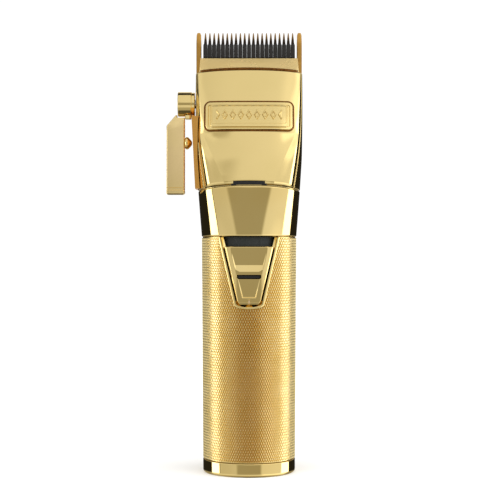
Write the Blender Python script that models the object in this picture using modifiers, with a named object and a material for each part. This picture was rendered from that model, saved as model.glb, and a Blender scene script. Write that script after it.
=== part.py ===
"""A cordless hair clipper, standing on its end cap, as an assembly of separate solids.

All sizes are in millimetres, and MM turns them into Blender's metres. +Z is up, the front with the lid
and the switch faces -Y, and the origin is the centre of the flat end face. Neighbouring pieces keep GAP.
"""

import math

import bmesh
import bpy
import numpy as np
from mathutils import Matrix, Vector

MM = 0.001
GAP = 0.3

# Overall form.
TOTAL_HEIGHT = 190.0
CAP_HEIGHT = 5.8
CAP_RADIUS = 19.8
SLEEVE_TOP = 100.8
SLEEVE_TOP_RADIUS = 20.35
SLEEVE_WALL = 1.6
COLLAR_TOP = 120.4
SEAM_RISE = 1.8
LID_TOP = 171.2
LID_TOP_RISE = 0.9
HEAD_WALL = 1.5
ROUND_SIDES = 48

# The body's section above the sleeve: height, half width, front depth, rear depth, squareness.
SECTIONS = (
    (SLEEVE_TOP, 20.4, 20.4, 20.4, 2.0),
    (111.0, 21.2, 20.9, 20.0, 2.25),
    (122.0, 22.0, 20.7, 18.6, 2.6),
    (135.0, 22.8, 19.2, 14.3, 2.9),
    (150.0, 23.0, 16.0, 9.8, 3.2),
    (163.0, 23.0, 11.9, 9.8, 3.4),
    (172.2, 22.9, 8.6, 9.8, 3.4),
)
# Where the lid meets the rear housing: height, and the angle that the seam lies in front of the side.
SEAM_HEIGHTS = (122.0, 134.0, 145.0, 160.0)
SEAM_ANGLES = (34.0, 28.0, 21.0, 16.0)
SEAM_GAP_ANGLE = math.radians(1.5)  # on each side of the seam

# Switch.
BEZEL_BOTTOM = 70.4
BEZEL_HALF_WIDTHS = (6.4, 13.1)
BEZEL_BAND = 1.15
SLIDER_BOTTOM = 72.4
SLIDER_TOP = 96.8
SLIDER_HALF_WIDTHS = (4.9, 10.3)
TRACK_RADII = (16.4, 17.6)
SLIDER_RADII = (17.9, 20.9)

# Blades: the comb lies behind the cutter.
BLADE_HALF_WIDTH = 23.0
TOOTH_PITCH = 1.9
TEETH_EACH_SIDE = 10
COMB_FRONT = 5.6
COMB_THICKNESS = 2.4
COMB_BOTTOM = 152.2
COMB_ROOT = 177.5
CUTTER_FRONT = 3.3
CUTTER_THICKNESS = 2.0
CUTTER_HALF_WIDTH = 19.95
CUTTER_BOTTOM = 165.0
CUTTER_ROOT = 178.6
CUTTER_TOP = 185.0
CUTTER_STROKE = 1.2
CARRIAGE_TRAVEL = 1.6
SCREW_X = 12.0
SCREW_Z = 157.0

# Taper lever, on an axis across the head.
LEVER_Z = 158.2
LEVER_SWING = math.radians(30.0)
HUB_RADIUS = 5.35
HUB_OUTER = -30.7
HUB_INNER = -23.35
CAM_ARM = CARRIAGE_TRAVEL / 2 / math.sin(LEVER_SWING / 2)
CAM_PIN_RADIUS = 0.95
DETENT_Z = 141.4

# Drive.
MOTOR_RADIUS = 11.0
MOTOR_BOTTOM = 80.0
MOTOR_TOP = 112.6
MOUNT_BOTTOM = 113.0
MOUNT_TOP = 116.0
SHAFT_RADIUS = 1.5
CAM_BOTTOM = 142.0
CAM_TOP = 149.3
DRIVE_PIN_RADIUS = 1.2

# Finishes: colour, metallic, roughness.
POLISHED_GOLD = ((0.83, 0.66, 0.28), 1.0, 0.12)
SATIN_GOLD = ((0.80, 0.62, 0.27), 1.0, 0.3)
KNURLED_GOLD = ((0.78, 0.56, 0.22), 1.0, 0.28)
BLACK_STEEL = ((0.03, 0.03, 0.03), 0.8, 0.35)
BRIGHT_STEEL = ((0.62, 0.62, 0.6), 1.0, 0.25)
DARK_PLASTIC = ((0.06, 0.065, 0.06), 0.0, 0.5)
GREEN_BOARD = ((0.03, 0.2, 0.08), 0.0, 0.5)
CELL_WRAP = ((0.1, 0.25, 0.5), 0.0, 0.4)
CLEAR_LIGHT = ((0.9, 0.9, 0.86), 0.0, 0.2)
COPPER = ((0.7, 0.33, 0.16), 1.0, 0.4)

TURNS = {"x": (0, math.pi / 2, 0), "y": (-math.pi / 2, 0, 0), "z": (0, 0, 0)}
UPRIGHT = (math.pi / 2, 0, 0)  # turns a flat outline's plane into the plane that faces the front


def new_collection(name):
    made = bpy.data.collections.new(name)
    bpy.context.scene.collection.children.link(made)
    return made


for startup_object in list(bpy.data.objects):
    bpy.data.objects.remove(startup_object, do_unlink=True)
PARTS = new_collection("hair_clipper")
CUTTERS = new_collection("cutters")


def material(name, colour, metallic, roughness):
    made = bpy.data.materials.new(name)
    made.use_nodes = True
    shader = made.node_tree.nodes["Principled BSDF"]
    shader.inputs["Base Color"].default_value = (*colour, 1.0)
    shader.inputs["Metallic"].default_value = metallic
    shader.inputs["Roughness"].default_value = roughness
    return made


def axis_empty(name, at):
    """An empty on a joint's axis, which the moving pieces are parented to."""
    made = bpy.data.objects.new(name, None)
    made.location = Vector(at) * MM
    PARTS.objects.link(made)
    return made


def add(name, mesh, finish=None, at=(0, 0, 0), turn=(0, 0, 0), parent=None):
    """Links a mesh with points in millimetres, as a part, or as a cutter where it has no finish."""
    mesh.transform(Matrix.Scale(MM, 4))
    made = bpy.data.objects.new(name, mesh)
    made.location = Vector(at) * MM
    made.rotation_euler = turn
    if finish is None:
        CUTTERS.objects.link(made)
        made.hide_render = True
        made.display_type = "WIRE"
        return made
    mesh.materials.append(material(name, *finish))
    PARTS.objects.link(made)
    if parent is not None:
        made.parent = parent
        made.matrix_parent_inverse = Matrix.Translation(-parent.location)
    return made


def mesh_from(shape, name):
    """A mesh from a bmesh, shaded smooth apart from its sharp edges."""
    mesh = bpy.data.meshes.new(name)
    shape.to_mesh(mesh)
    shape.free()
    mesh.shade_smooth()
    mesh.set_sharp_from_angle(angle=math.radians(35))
    return mesh


def box(name, low, high, finish=None, parent=None):
    low = Vector(low)
    high = Vector(high)
    shape = bmesh.new()
    bmesh.ops.create_cube(shape, size=1.0, matrix=Matrix.Diagonal((*(high - low), 1.0)))
    return add(name, mesh_from(shape, name), finish, (low + high) / 2, parent=parent)


def rod(name, start, length, radius, axis="z", finish=None, parent=None, sides=24):
    """A round bar that starts at a point and runs along the positive axis."""
    shape = bmesh.new()
    bmesh.ops.create_cone(
        shape, cap_ends=True, segments=sides, radius1=radius, radius2=radius, depth=length,
        matrix=Matrix.Translation((0, 0, length / 2)),
    )
    return add(name, mesh_from(shape, name), finish, start, TURNS[axis], parent)


def turned(name, profile, at=(0, 0, 0), axis="z", finish=None, parent=None, ring=False, sides=32):
    """A shape turned about an axis, from (radius, height) points that run down its outer side."""
    mesh = bpy.data.meshes.new(name)
    edges = [(i, i + 1) for i in range(len(profile) - 1)]
    if ring:
        edges.append((len(profile) - 1, 0))
    mesh.from_pydata([(radius, 0.0, height) for radius, height in profile], edges, [])
    made = add(name, mesh, finish, at, TURNS[axis], parent)
    screw = made.modifiers.new("Turn", "SCREW")
    screw.steps = sides
    screw.render_steps = sides
    screw.use_merge_vertices = True
    screw.merge_threshold = 0.00001
    screw.use_smooth_shade = True
    return made


def plate(name, loops, thickness, at=(0, 0, 0), turn=UPRIGHT, finish=None, parent=None):
    """A flat plate cut to an outline, with any further loops as its holes, centred on its own plane."""
    curve = bpy.data.curves.new(name, "CURVE")
    curve.dimensions = "2D"
    curve.fill_mode = "BOTH"
    curve.extrude = thickness / 2
    for loop in loops:
        spline = curve.splines.new("POLY")
        spline.points.add(len(loop) - 1)
        for point, (x, y) in zip(spline.points, loop):
            point.co = (x, y, 0, 1)
        spline.use_cyclic_u = True
    flat = bpy.data.objects.new(name, curve)
    CUTTERS.objects.link(flat)
    evaluated = flat.evaluated_get(bpy.context.evaluated_depsgraph_get())
    shape = bmesh.new()
    shape.from_mesh(bpy.data.meshes.new_from_object(evaluated))
    bpy.data.objects.remove(flat)
    bmesh.ops.remove_doubles(shape, verts=shape.verts, dist=0.001)
    bmesh.ops.recalc_face_normals(shape, faces=shape.faces)
    return add(name, mesh_from(shape, name), finish, at, turn, parent)


def grid_mesh(name, surface, rows, columns, closed=False, capped=False):
    """A mesh of surface(up, around) points, both from 0 to 1, with its faces pointing out."""
    shape = bmesh.new()
    lines = []
    for up in np.linspace(0, 1, rows + 1):
        rounds = np.linspace(0, 1, columns + 1)[: columns if closed else None]
        lines.append([shape.verts.new(surface(up, around)) for around in rounds])
    for lower, upper in zip(lines, lines[1:]):
        pairs = list(zip(lower, lower[1:], upper[1:], upper))
        if closed:
            pairs.append((lower[-1], lower[0], upper[0], upper[-1]))
        for corners in pairs:
            shape.faces.new(corners)
    if capped:
        shape.faces.new(reversed(lines[0]))
        shape.faces.new(lines[-1])
    return mesh_from(shape, name)


def shell(name, surface, rows, columns, thickness, finish, closed=False):
    """A curved wall, thickened inwards from its outer surface."""
    made = add(name, grid_mesh(name, surface, rows, columns, closed), finish)
    wall = made.modifiers.new("Wall", "SOLIDIFY")
    wall.thickness = thickness * MM
    wall.offset = -1
    wall.use_even_offset = True
    return made


def boolean(part, other, operation="DIFFERENCE"):
    made = part.modifiers.new(operation.title(), "BOOLEAN")
    made.operation = operation
    made.solver = "EXACT"
    made.object = other
    return part


def bevel(part, width):
    made = part.modifiers.new("Edges", "BEVEL")
    made.width = width * MM
    made.segments = 1
    made.limit_method = "ANGLE"
    made.angle_limit = math.radians(40)
    return part


def circle(centre_x, centre_y, radius, sides=16):
    steps = np.linspace(0, 2 * math.pi, sides, endpoint=False)
    return [(centre_x + radius * math.cos(a), centre_y + radius * math.sin(a)) for a in steps]


def section_sizes(height):
    """The body's half width, front depth, rear depth and squareness at a height."""
    heights = [station[0] for station in SECTIONS]
    return [np.interp(height, heights, [station[i] for station in SECTIONS]) for i in range(1, 5)]


def body_point(height, angle, lift=0.0):
    """A point on the body: angle 0 is at +X, 90 degrees the rear, and lift moves it outwards."""
    half_width, front, rear, squareness = section_sizes(height)
    across = math.cos(angle)
    along = math.sin(angle)
    depth = (rear if along > 0 else front) + lift
    power = 2 / squareness
    x = math.copysign(abs(across) ** power, across) * (half_width + lift)
    y = math.copysign(abs(along) ** power, along) * depth
    return x, y, height


def front_depth(x, height, lift):
    """The lid's y at a distance from the middle, for pieces that follow the lid."""
    half_width, front, _, squareness = section_sizes(height)
    share = abs(x / (half_width + lift)) ** squareness
    return -(front + lift) * (1 - share) ** (1 / squareness)


def seam_angle(height):
    return math.radians(np.interp(height, SEAM_HEIGHTS, SEAM_ANGLES))


def frontness(angle):
    return max(0.0, -math.sin(angle)) ** 2


def switch_outline(widths, bottom, top, grow=0.0):
    """A V-shaped outline with a round foot, as half widths at its foot and its top."""
    foot = widths[0] + grow
    drop = 1.9
    arc = [math.radians(a) for a in range(0, 181, 30)]
    points = [(foot * math.cos(a), bottom - grow + drop - drop * math.sin(a)) for a in arc]
    return points + [(-widths[1] - grow, top), (widths[1] + grow, top)]


def curved_plate(name, outline, radii, finish, parent=None):
    """The part of a tube about the long axis that lies behind an outline seen from the front."""
    made = plate(name, [outline], 2 * ROUND_SIDES, (0, -ROUND_SIDES - 5.0, 0), UPRIGHT, finish, parent)
    bottom = min(z for _, z in outline) - 1
    top = max(z for _, z in outline) + 1
    inner, outer = radii
    profile = [(inner, top), (outer, top), (outer, bottom), (inner, bottom)]
    tube = turned(name + " tube", profile, ring=True, sides=ROUND_SIDES)
    return boolean(made, tube, "INTERSECT")


def end_cap():
    rim = CAP_RADIUS - 2.2
    profile = [
        (0, 2.2), (rim, 2.2), (rim, CAP_HEIGHT), (CAP_RADIUS, CAP_HEIGHT),
        (CAP_RADIUS, 1.6), (CAP_RADIUS - 0.5, 0.6), (CAP_RADIUS - 1.6, 0), (0, 0),
    ]
    cap = turned("end_cap", profile, finish=POLISHED_GOLD, sides=ROUND_SIDES)
    boolean(cap, rod("jack hole", (0, 9.5, -1), 5, 3.8))


def charging_jack():
    profile = [(0, 11), (3.5, 11), (3.5, 0.4), (2.75, 0.4), (2.75, 9), (0.8, 9), (0.8, 1.4), (0, 1.4)]
    turned("charging_jack", profile, (0, 9.5, 0), finish=DARK_PLASTIC, sides=24)


def grip_sleeve():
    bottom = CAP_HEIGHT + GAP
    profile = [
        (SLEEVE_TOP_RADIUS - SLEEVE_WALL, SLEEVE_TOP), (SLEEVE_TOP_RADIUS, SLEEVE_TOP),
        (CAP_RADIUS, bottom), (CAP_RADIUS - SLEEVE_WALL, bottom),
    ]
    sleeve = turned("grip_sleeve", profile, finish=KNURLED_GOLD, ring=True, sides=ROUND_SIDES)
    outline = switch_outline(BEZEL_HALF_WIDTHS, BEZEL_BOTTOM, SLEEVE_TOP + 1, GAP)
    boolean(sleeve, plate("switch window", [outline], 40, (0, -25, 0)))


def switch_parts(switch_slide):
    top = SLEEVE_TOP - 0.2
    outer = switch_outline(BEZEL_HALF_WIDTHS, BEZEL_BOTTOM, top)
    bezel = curved_plate("switch_bezel", outer, (SLIDER_RADII[0], 20.7), POLISHED_GOLD)
    inner = switch_outline(BEZEL_HALF_WIDTHS, BEZEL_BOTTOM, top + 2, -BEZEL_BAND)
    boolean(bezel, plate("bezel opening", [inner], 40, (0, -25, 0)))

    wide = switch_outline(BEZEL_HALF_WIDTHS, BEZEL_BOTTOM, top, 0.6)
    track = curved_plate("switch_track", wide, TRACK_RADII, DARK_PLASTIC)
    boolean(track, box("shoe slot", (-2.1, -20, 84.2), (2.1, -10, 94.2)))

    outline = switch_outline(SLIDER_HALF_WIDTHS, SLIDER_BOTTOM, SLIDER_TOP)
    slider = curved_plate("switch_slider", outline, SLIDER_RADII, POLISHED_GOLD, switch_slide)
    scoop = [(-4.4, 84), (4.4, 84), (7.5, 95.6), (-7.5, 95.6)]
    boolean(slider, plate("thumb scoop", [scoop], 10, (0, -24.4, 0)))
    boolean(slider, box("light notch", (-0.8, -24, 70), (0.8, -15, 74.7)))
    box("indicator_light", (-0.45, -20.2, 72.7), (0.45, -17.95, 74.3), CLEAR_LIGHT)
    box("slider_shoe", (-1.8, -17.6, 85), (1.8, -15.9, 89.5), DARK_PLASTIC, switch_slide)
    box("micro_switch", (-3, -15.6, 86), (3, -12.7, 95), DARK_PLASTIC)


def power_parts():
    profile = [(0, 77.2), (3, 77.2), (3, 76.2), (8.6, 76.2), (9.2, 75.6), (9.2, 12), (0, 12)]
    turned("battery_cell", profile, (0, 1, 0), finish=CELL_WRAP)

    def cradle(up, around):
        angle = math.pi * around
        return 10.8 * math.cos(angle), 1 + 10.8 * math.sin(angle), 11.6 + 66.4 * up

    shell("battery_carrier", cradle, 1, 16, 1.0, DARK_PLASTIC)
    box("circuit_board", (-9, -12.4, 12), (9, -11.4, 97), GREEN_BOARD)


def neck_collar():
    def surface(up, around):
        angle = 2 * math.pi * around
        bottom = SLEEVE_TOP + GAP
        top = COLLAR_TOP + SEAM_RISE * frontness(angle)
        return body_point(bottom + (top - bottom) * up, angle)

    shell("neck_collar", surface, 4, ROUND_SIDES, 1.8, POLISHED_GOLD, closed=True)


def front_lid():
    def surface(up, around):
        low = COLLAR_TOP + 2 * GAP
        seam = seam_angle(low + (LID_TOP - low) * up) + SEAM_GAP_ANGLE
        angle = math.pi + seam + (math.pi - 2 * seam) * around
        bottom = low + SEAM_RISE * frontness(angle)
        top = LID_TOP + LID_TOP_RISE * frontness(angle)
        return body_point(bottom + (top - bottom) * up, angle)

    shell("front_lid", surface, 9, 26, HEAD_WALL, POLISHED_GOLD)


def rear_housing():
    def surface(up, around):
        low = COLLAR_TOP + 2 * GAP
        seam = seam_angle(low + (LID_TOP - low) * up) - SEAM_GAP_ANGLE
        angle = -seam + (math.pi + 2 * seam) * around
        bottom = low + SEAM_RISE * frontness(angle)
        return body_point(bottom + (LID_TOP - bottom) * up, angle)

    housing = shell("rear_housing", surface, 9, 30, HEAD_WALL, SATIN_GOLD)
    boolean(housing, box("blade bay", (-30, CUTTER_FRONT + CUTTER_THICKNESS, 150), (30, 30, 180)))
    boolean(housing, rod("lever bore", (-27, 0, LEVER_Z), 8, 2.2, "x"))
    for side in (-1, 1):
        boolean(housing, rod("rear screw hole", (11 * side, 10, 126), 12, 2.8, "y", sides=20))


def rear_screws():
    """Two screws that hold the rear housing to the inner frame, and the frame."""
    frame_holes = [circle(11 * side, 126, 1.5) for side in (-1, 1)]
    outline = [(-14, MOUNT_TOP + GAP), (14, MOUNT_TOP + GAP), (14, 134), (-14, 134)]
    plate("inner_frame", [outline, *frame_holes], 2, (0, 10.2, 0), UPRIGHT, DARK_PLASTIC)
    profile = [(0, 9.6), (2.4, 9.6), (2.4, 8.1), (1.2, 8.1), (1.2, 0), (0, 0)]
    for side, word in ((-1, "left"), (1, "right")):
        turned("rear_screw_" + word, profile, (11 * side, 7.8, 126), "y", BLACK_STEEL, sides=16)


def nose_bezel():
    """The strip that slopes from the lid's top edge up to the cutter."""
    def surface(up, around):
        angle = math.pi * (1 + around)
        across = math.copysign(abs(math.cos(angle)) ** 0.6, math.cos(angle))
        along = abs(math.sin(angle)) ** 0.6
        rise = 0.9 + LID_TOP_RISE * frontness(angle)
        low = (21.4 * across, 2.4 - 10.6 * along, LID_TOP + rise)
        high = (21.1 * across, 2.4 - 0.5 * along, 178.4)
        return tuple(a + (b - a) * up for a, b in zip(low, high))

    shell("nose_bezel", surface, 2, 20, 1.1, POLISHED_GOLD)


def badge_plate():
    """A plain plate that follows the lid."""
    bottom = 145.5
    top = 157.5
    corner = 2.2

    def surface(up, around):
        height = bottom + (top - bottom) * up
        edge = max(0.0, corner - min(height - bottom, top - height))
        half = 18.6 - corner + math.sqrt(corner**2 - edge**2)
        x = half * (2 * around - 1)
        return x, front_depth(x, height, 1.0), height

    shell("badge_plate", surface, 10, 16, 0.65, POLISHED_GOLD)


def lever_index_plate():
    """The side plate that the lever's detent pin travels over."""
    outline = [(-16, 121.4), (-22.95, 121.4), (-24.5, 152.3), (-16, 152.3)]
    made = plate("lever_index_plate", [outline], 15.0, (0, -2.4, 0), UPRIGHT, SATIN_GOLD)

    def grown(up, around):
        return body_point(119 + 36 * up, 2 * math.pi * around, GAP)

    mesh = grid_mesh("head clearance", grown, 9, 64, closed=True, capped=True)
    boolean(made, add("head clearance", mesh))


def motor_parts(rotor_axis):
    can = [
        (5.4, MOTOR_TOP), (MOTOR_RADIUS, MOTOR_TOP), (MOTOR_RADIUS, MOTOR_BOTTOM),
        (MOTOR_RADIUS - 0.9, MOTOR_BOTTOM), (MOTOR_RADIUS - 0.9, MOTOR_TOP - 1), (5.4, MOTOR_TOP - 1),
    ]
    motor = turned("motor_can", can, finish=BRIGHT_STEEL, ring=True)
    mount_profile = [(5.4, MOUNT_TOP), (17.2, MOUNT_TOP), (17.2, MOUNT_BOTTOM), (5.4, MOUNT_BOTTOM)]
    mount = turned("motor_mount", mount_profile, finish=DARK_PLASTIC, ring=True)
    screw = [(0, 8.3), (1.7, 8.3), (1.7, 6.8), (1.0, 6.8), (1.0, 0), (0, 0)]
    for side, word in ((-1, "left"), (1, "right")):
        hole = rod("motor screw hole", (8 * side, 0, 105), 20, 1.3, sides=16)
        boolean(motor, hole)
        boolean(mount, hole)
        turned("motor_screw_" + word, screw, (8 * side, 0, 109.5), finish=BLACK_STEEL, sides=16)
    bearing = [(1.8, 117), (5.1, 117), (5.1, 113), (1.8, 113)]
    turned("motor_bearing", bearing, finish=BRIGHT_STEEL, ring=True, sides=24)

    armature = [(1.8, 108), (9.4, 108), (9.4, 84), (1.8, 84)]
    turned("motor_armature", armature, finish=COPPER, ring=True, sides=24, parent=rotor_axis)
    rod("motor_shaft", (0, 0, 81), 66.2, SHAFT_RADIUS, "z", BRIGHT_STEEL, rotor_axis, sides=20)
    bore = SHAFT_RADIUS + GAP
    cam_profile = [(0, CAM_TOP), (4, CAM_TOP), (4, CAM_BOTTOM), (bore, CAM_BOTTOM), (bore, 147.6), (0, 147.6)]
    cam = turned("eccentric_cam", cam_profile, finish=BRIGHT_STEEL, sides=24, parent=rotor_axis)
    boolean(cam, rod("drive pin", (0, -CUTTER_STROKE, 148.6), 8, DRIVE_PIN_RADIUS, sides=16), "UNION")


def tooth_points(index, root, tip, root_width, tip_width):
    """One pointed tooth of a blade's outline, from left to right."""
    x = TOOTH_PITCH * index
    left = [(x - root_width / 2, root), (x - tip_width / 2, tip - 0.4), (x - tip_width / 4, tip)]
    right = [(2 * x - across, up) for across, up in reversed(left)]
    return left + right


def cutter_parts(cutter_slide):
    half = CUTTER_HALF_WIDTH
    heel = half - CUTTER_STROKE - GAP
    outline = [(heel, CUTTER_BOTTOM), (-heel, CUTTER_BOTTOM), (-heel, 172.4), (-half, 173.6), (-half, CUTTER_ROOT)]
    for index in range(-TEETH_EACH_SIDE, TEETH_EACH_SIDE + 1):
        outline += tooth_points(index, CUTTER_ROOT, CUTTER_TOP, 1.4, 0.9)
    outline += [(half, CUTTER_ROOT), (half, 173.6), (heel, 172.4)]
    centre = CUTTER_FRONT + CUTTER_THICKNESS / 2
    plate("cutter_blade", [outline], CUTTER_THICKNESS, (0, centre, 0), UPRIGHT, BLACK_STEEL, cutter_slide)

    seat = box("drive_seat", (-6.2, -4.2, 150), (6.2, 4.2, 159), DARK_PLASTIC, cutter_slide)
    room = DRIVE_PIN_RADIUS + 2 * CUTTER_STROKE + GAP
    boolean(seat, box("pin slot", (-room, -2.8, 149), (room, 2.8, 157.4)))
    boolean(seat, box("drive arm", (-3.5, 0.3, 158), (3.5, 2.2, 168.5)), "UNION")
    boolean(seat, box("drive foot", (-3.2, 1.6, 165.4), (3.2, 3.0, 168.2)), "UNION")


def carriage_parts(carriage_slide):
    half = BLADE_HALF_WIDTH
    end_inner = half - 2.3
    outline = [
        (half, COMB_BOTTOM), (8.5, COMB_BOTTOM), (8.5, 149), (-8.5, 149), (-8.5, COMB_BOTTOM),
        (-half, COMB_BOTTOM), (-half, TOTAL_HEIGHT - 0.8), (-half + 0.6, TOTAL_HEIGHT),
        (-end_inner - 0.5, TOTAL_HEIGHT), (-end_inner, COMB_ROOT),
    ]
    for index in range(-TEETH_EACH_SIDE, TEETH_EACH_SIDE + 1):
        outline += tooth_points(index, COMB_ROOT, TOTAL_HEIGHT, 1.3, 0.6)
    outline += [
        (end_inner, COMB_ROOT), (end_inner + 0.5, TOTAL_HEIGHT), (half - 0.6, TOTAL_HEIGHT),
        (half, TOTAL_HEIGHT - 0.8),
    ]
    holes = [circle(SCREW_X * side, SCREW_Z, 1.6) for side in (-1, 1)]
    middle = COMB_FRONT + COMB_THICKNESS / 2
    plate("fixed_blade", [outline, *holes], COMB_THICKNESS, (0, middle, 0), UPRIGHT, SATIN_GOLD, carriage_slide)

    arch = [
        (-17.5, 150.4), (-8.4, 150.4), (-8.4, 161.2), (8.4, 161.2), (8.4, 150.4),
        (17.5, 150.4), (17.5, 163.5), (-17.5, 163.5),
    ]
    bracket = plate("blade_bracket", [arch, *holes], 2.7, (0, 3.95, 0), UPRIGHT, BRIGHT_STEEL, carriage_slide)
    boolean(bracket, box("cam tab", (-17.4, 0.9, 154), (-15.4, 5.1, 163.3)), "UNION")
    pin_y = CAM_ARM * (1 + math.cos(LEVER_SWING / 2)) / 2
    pin_z = LEVER_Z + CARRIAGE_TRAVEL / 2
    reach = CAM_PIN_RADIUS + 0.35
    boolean(bracket, box(
        "cam slot", (-19, pin_y - reach, pin_z - reach), (-14.6, pin_y + reach, pin_z + reach)
    ))
    guide_top = CUTTER_BOTTOM - GAP
    box("cutter_guide", (-15, 3.3, guide_top - 0.9), (15, 5.3, guide_top), BRIGHT_STEEL, carriage_slide)

    screw = [(0, 6.6), (2.6, 6.6), (2.6, 5.4), (1.3, 5.4), (1.3, 0), (0, 0)]
    for side, word in ((-1, "left"), (1, "right")):
        place = (SCREW_X * side, 2.9, SCREW_Z)
        turned("blade_screw_" + word, screw, place, "y", BLACK_STEEL, carriage_slide, sides=20)
    tension_spring(carriage_slide)


def tension_spring(carriage_slide):
    """A wire arch that presses on the cutter's front, from the bracket's legs."""
    half = [(9, 1.75, 157.5), (9, 2.1, 168), (8.7, 2.3, 171.6), (7.9, 2.4, 172.5)]
    path = half + [(-x, y, z) for x, y, z in reversed(half)]
    curve = bpy.data.curves.new("tension_spring", "CURVE")
    curve.dimensions = "3D"
    curve.bevel_depth = 0.5 * MM
    curve.bevel_resolution = 1
    curve.use_fill_caps = True
    spline = curve.splines.new("POLY")
    spline.points.add(len(path) - 1)
    for point, place in zip(spline.points, path):
        point.co = (*(Vector(place) * MM), 1)
    curve.materials.append(material("tension_spring", *BRIGHT_STEEL))
    made = bpy.data.objects.new("tension_spring", curve)
    PARTS.objects.link(made)
    made.parent = carriage_slide
    made.matrix_parent_inverse = Matrix.Translation(-carriage_slide.location)


def lever_parts(lever_axis):
    hub = rod(
        "lever_hub", (HUB_OUTER, 0, LEVER_Z), HUB_INNER - HUB_OUTER, HUB_RADIUS, "x",
        POLISHED_GOLD, lever_axis, sides=32,
    )
    boolean(hub, box("hub lug", (-27.6, -2.2, 151.6), (-24.9, 2.2, 156)), "UNION")
    boolean(hub, rod("hub bore", (-32, 0, LEVER_Z), 10, 2.15, "x"))
    boolean(hub, rod("screw recess", (-32, 0, LEVER_Z), 3.4, 3.2, "x"))
    screw = [(0, 6), (1.0, 6), (1.0, 1.3), (2.8, 1.3), (2.8, 0), (0, 0)]
    turned("lever_screw", screw, (-30.2, 0, LEVER_Z), "x", BLACK_STEEL, lever_axis, sides=20)

    arm = plate(
        "lever_arm",
        [[(-27.7, 119.1), (-27.7, 154.3), (-31.75, 154.3), (-35.6, 148.9), (-35.6, 119.1)]],
        6.0, (0, 0, 0), UPRIGHT, SATIN_GOLD, lever_axis,
    )
    bevel(arm, 0.5)
    boolean(arm, rod("hub clearance", (-40, 0, LEVER_Z), 20, HUB_RADIUS + GAP, "x", sides=48))

    nib = [(0, 0.35), (2.75, 0.35), (2.75, 1.5), (1.1, 2.8), (0.6, 3.05), (0, 3.1)]
    turned("detent_pin", nib[::-1], (-27.7, 0, DETENT_Z), "x", POLISHED_GOLD, lever_axis, sides=20)

    profile = [
        (0, 9.6), (4.4, 9.6), (4.4, 8.6), (1.8, 8.6), (1.8, 0), (1.3, 0), (1.3, 4.2), (0, 4.2),
    ]
    shaft = turned("lever_cam_shaft", profile, (-27.9, 0, LEVER_Z), "x", BRIGHT_STEEL, lever_axis, sides=24)
    angle = LEVER_SWING / 2
    pin_at = (-18.8, CAM_ARM * math.cos(angle), LEVER_Z + CAM_ARM * math.sin(angle))
    boolean(shaft, rod("cam pin", pin_at, 3.8, CAM_PIN_RADIUS, "x", sides=16), "UNION")


def build():
    lever_axis = axis_empty("lever axis", (0, 0, LEVER_Z))
    carriage_slide = axis_empty("carriage slide", (0, COMB_FRONT, SCREW_Z))
    cutter_slide = axis_empty("cutter slide", (0, CUTTER_FRONT, CUTTER_BOTTOM))
    rotor_axis = axis_empty("rotor axis", (0, 0, CAM_BOTTOM))
    switch_slide = axis_empty("switch slide", (0, -SLIDER_RADII[1], SLIDER_BOTTOM))
    end_cap()
    charging_jack()
    grip_sleeve()
    switch_parts(switch_slide)
    power_parts()
    motor_parts(rotor_axis)
    neck_collar()
    front_lid()
    rear_housing()
    rear_screws()
    nose_bezel()
    badge_plate()
    lever_index_plate()
    cutter_parts(cutter_slide)
    carriage_parts(carriage_slide)
    lever_parts(lever_axis)


build()
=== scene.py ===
"""A gold cordless hair clipper on its end cap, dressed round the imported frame.

Lengths are in millimetres, and MM turns them into metres. +Z is up and the front faces -Y. Each piece is
a surface worked out on a grid with numpy, put in the place that the frame gives for its node.
"""

import math

import bmesh
import bpy
import numpy as np
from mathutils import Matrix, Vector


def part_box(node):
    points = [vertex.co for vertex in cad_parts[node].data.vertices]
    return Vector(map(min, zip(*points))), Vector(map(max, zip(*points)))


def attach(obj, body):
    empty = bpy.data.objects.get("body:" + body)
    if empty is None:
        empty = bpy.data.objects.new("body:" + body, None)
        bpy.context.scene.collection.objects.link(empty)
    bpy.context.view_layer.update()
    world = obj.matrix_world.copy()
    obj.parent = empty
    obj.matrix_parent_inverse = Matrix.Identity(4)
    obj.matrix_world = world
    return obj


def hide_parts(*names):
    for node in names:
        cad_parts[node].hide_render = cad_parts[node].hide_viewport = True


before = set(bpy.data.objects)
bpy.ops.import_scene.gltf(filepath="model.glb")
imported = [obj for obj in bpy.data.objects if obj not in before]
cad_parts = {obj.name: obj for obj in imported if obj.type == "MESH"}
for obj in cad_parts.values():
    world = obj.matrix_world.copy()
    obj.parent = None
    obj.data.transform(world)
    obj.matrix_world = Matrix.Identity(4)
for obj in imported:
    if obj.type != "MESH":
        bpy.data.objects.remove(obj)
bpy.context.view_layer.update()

MM = 0.001
TAU = 2 * math.pi


def node_box(name):
    """A node's lowest and highest corners in millimetres."""
    return [np.array(corner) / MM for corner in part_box(name)]


# Places from the frame.
CAP_HIGH = node_box("end_cap")[1]
SLEEVE_LOW, SLEEVE_HIGH = node_box("grip_sleeve")
COLLAR_LOW, COLLAR_HIGH = node_box("neck_collar")
LID_LOW = node_box("front_lid")[0]
HOUSING_HIGH = node_box("rear_housing")[1]
BADGE_LOW, BADGE_HIGH = node_box("badge_plate")
NOSE_LOW, NOSE_HIGH = node_box("nose_bezel")
COMB_LOW, COMB_HIGH = node_box("fixed_blade")
CUTTER_LOW, CUTTER_HIGH = node_box("cutter_blade")
SLIDER_LOW, SLIDER_HIGH = node_box("switch_slider")
BEZEL_LOW, BEZEL_HIGH = node_box("switch_bezel")
HUB_LOW, HUB_HIGH = node_box("lever_hub")
ARM_LOW, ARM_HIGH = node_box("lever_arm")
DETENT_LOW, DETENT_HIGH = node_box("detent_pin")

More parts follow.
